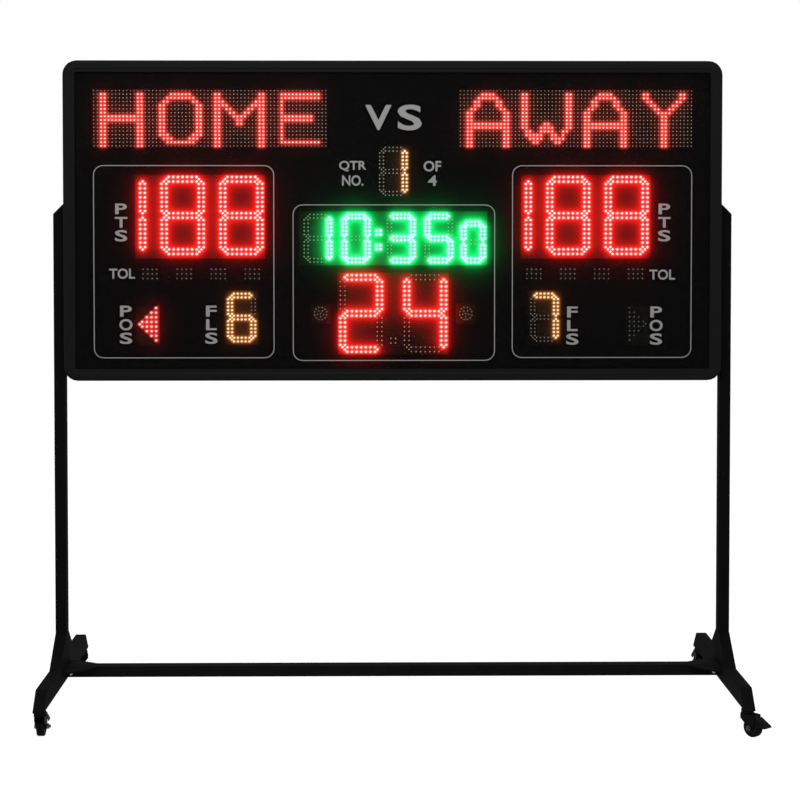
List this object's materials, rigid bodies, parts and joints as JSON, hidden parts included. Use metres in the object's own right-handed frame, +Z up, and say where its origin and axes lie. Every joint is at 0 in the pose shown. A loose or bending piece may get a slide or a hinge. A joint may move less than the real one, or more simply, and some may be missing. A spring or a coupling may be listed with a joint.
{
  "type": "basketball scoreboard",
  "caption": "Electronic scoreboard with lit digits, name matrices and signal lamps in a rounded frame, held between the posts of a wheeled stand with braked swivel casters.",
  "frame": {"origin": "on the floor, under the middle of the bounding box", "axes": "+X to the right of a viewer who faces the displays, +Y from the displays towards the rear cover, +Z up"},
  "size_m": [1.9288, 0.7956, 1.764],
  "materials": {
    "frame_black": "satin black anodised extrusion",
    "smoked_sheet": "smoked polished sheet",
    "board_black": "matt black",
    "lamp_board": "matt black mask",
    "stand_black": "black powder coat",
    "sheet_black": "black powder coat",
    "supply_silver": "bare sheet",
    "circuit_green": "solder mask",
    "horn_grey": "moulded",
    "moulded_black": "moulded",
    "rocker_red": "moulded, glossy",
    "tyre_rubber": "dark rubber",
    "zinc_plate": "zinc plated"
  },
  "bodies": {
    "board_and_stand": {"frame_top_rail": "frame_black", "frame_bottom_rail": "frame_black", "frame_left_rail": "frame_black", "frame_right_rail": "frame_black", "frame_corner_top_left": "frame_black", "frame_corner_top_right": "frame_black", "frame_corner_bottom_left": "frame_black", "frame_corner_bottom_right": "frame_black", "front_glazing": "smoked_sheet", "carrier_plate": "board_black", "left_name_display": "lamp_board", "right_name_display": "lamp_board", "left_score_display": "lamp_board", "right_score_display": "lamp_board", "game_clock_display": "lamp_board", "shot_clock_display": "lamp_board", "period_display": "lamp_board", "left_foul_display": "lamp_board", "right_foul_display": "lamp_board", "left_timeout_display": "lamp_board", "right_timeout_display": "lamp_board", "left_possession_display": "lamp_board", "right_possession_display": "lamp_board", "left_signal_display": "lamp_board", "right_signal_display": "lamp_board", "rear_cover": "sheet_black", "power_supply": "supply_silver", "control_board": "circuit_green", "horn": "horn_grey", "power_inlet": "moulded_black", "left_upright": "stand_black", "right_upright": "stand_black", "left_leg": "stand_black", "right_leg": "stand_black", "crossbar": "stand_black", "left_lower_bracket": "stand_black", "left_upper_bracket": "stand_black", "right_lower_bracket": "stand_black", "right_upper_bracket": "stand_black", "front_left_stem": "zinc_plate", "front_right_stem": "zinc_plate", "rear_left_stem": "zinc_plate", "rear_right_stem": "zinc_plate"},
    "front_left_caster": {"front_left_fork": "stand_black", "front_left_axle": "zinc_plate"},
    "front_left_wheel_body": {"front_left_wheel": "tyre_rubber"},
    "front_left_pedal_body": {"front_left_brake_pedal": "moulded_black"},
    "front_right_caster": {"front_right_fork": "stand_black", "front_right_axle": "zinc_plate"},
    "front_right_wheel_body": {"front_right_wheel": "tyre_rubber"},
    "front_right_pedal_body": {"front_right_brake_pedal": "moulded_black"},
    "rear_left_caster": {"rear_left_fork": "stand_black", "rear_left_axle": "zinc_plate"},
    "rear_left_wheel_body": {"rear_left_wheel": "tyre_rubber"},
    "rear_left_pedal_body": {"rear_left_brake_pedal": "moulded_black"},
    "rear_right_caster": {"rear_right_fork": "stand_black", "rear_right_axle": "zinc_plate"},
    "rear_right_wheel_body": {"rear_right_wheel": "tyre_rubber"},
    "rear_right_pedal_body": {"rear_right_brake_pedal": "moulded_black"},
    "power_switch": {"power_switch_rocker": "rocker_red"}
  },
  "joints": [
    {"name": "front_left_swivel", "type": "hinge", "parent": "board_and_stand", "child": "front_left_caster", "pos_m": [-0.9113, -0.335, 0.06], "axis": [0, 0, 1], "continuous": true},
    {"name": "front_left_wheel_spin", "type": "hinge", "parent": "front_left_caster", "child": "front_left_wheel_body", "pos_m": [-0.9113, -0.317, 0.025], "axis": [-1, 0, 0], "continuous": true},
    {"name": "front_left_brake", "type": "hinge", "parent": "front_left_caster", "child": "front_left_pedal_body", "pos_m": [-0.9113, -0.3095, 0.0545], "axis": [1, 0, 0], "range_deg": [0, 22]},
    {"name": "front_right_swivel", "type": "hinge", "parent": "board_and_stand", "child": "front_right_caster", "pos_m": [0.9113, -0.335, 0.06], "axis": [0, 0, 1], "continuous": true},
    {"name": "front_right_wheel_spin", "type": "hinge", "parent": "front_right_caster", "child": "front_right_wheel_body", "pos_m": [0.92287, -0.34879, 0.025], "axis": [0.766, 0.6428, 0], "continuous": true},
    {"name": "front_right_brake", "type": "hinge", "parent": "front_right_caster", "child": "front_right_pedal_body", "pos_m": [0.92769, -0.35453, 0.0545], "axis": [-0.766, -0.6428, 0], "range_deg": [0, 22]},
    {"name": "rear_left_swivel", "type": "hinge", "parent": "board_and_stand", "child": "rear_left_caster", "pos_m": [-0.9113, 0.335, 0.06], "axis": [0, 0, 1], "continuous": true},
    {"name": "rear_left_wheel_spin", "type": "hinge", "parent": "rear_left_caster", "child": "rear_left_wheel_body", "pos_m": [-0.92287, 0.34879, 0.025], "axis": [-0.766, -0.6428, 0], "continuous": true},
    {"name": "rear_left_brake", "type": "hinge", "parent": "rear_left_caster", "child": "rear_left_pedal_body", "pos_m": [-0.92769, 0.35453, 0.0545], "axis": [0.766, 0.6428, 0], "range_deg": [0, 22]},
    {"name": "rear_right_swivel", "type": "hinge", "parent": "board_and_stand", "child": "rear_right_caster", "pos_m": [0.9113, 0.335, 0.06], "axis": [0, 0, 1], "continuous": true},
    {"name": "rear_right_wheel_spin", "type": "hinge", "parent": "rear_right_caster", "child": "rear_right_wheel_body", "pos_m": [0.9113, 0.353, 0.025], "axis": [-1, 0, 0], "continuous": true},
    {"name": "rear_right_brake", "type": "hinge", "parent": "rear_right_caster", "child": "rear_right_pedal_body", "pos_m": [0.9113, 0.3605, 0.0545], "axis": [1, 0, 0], "range_deg": [0, 22]},
    {"name": "power_switch_rock", "type": "hinge", "parent": "board_and_stand", "child": "power_switch", "pos_m": [0.62, 0.0411, 0.997], "axis": [-1, 0, 0], "range_deg": [0, 16]}
  ]
}
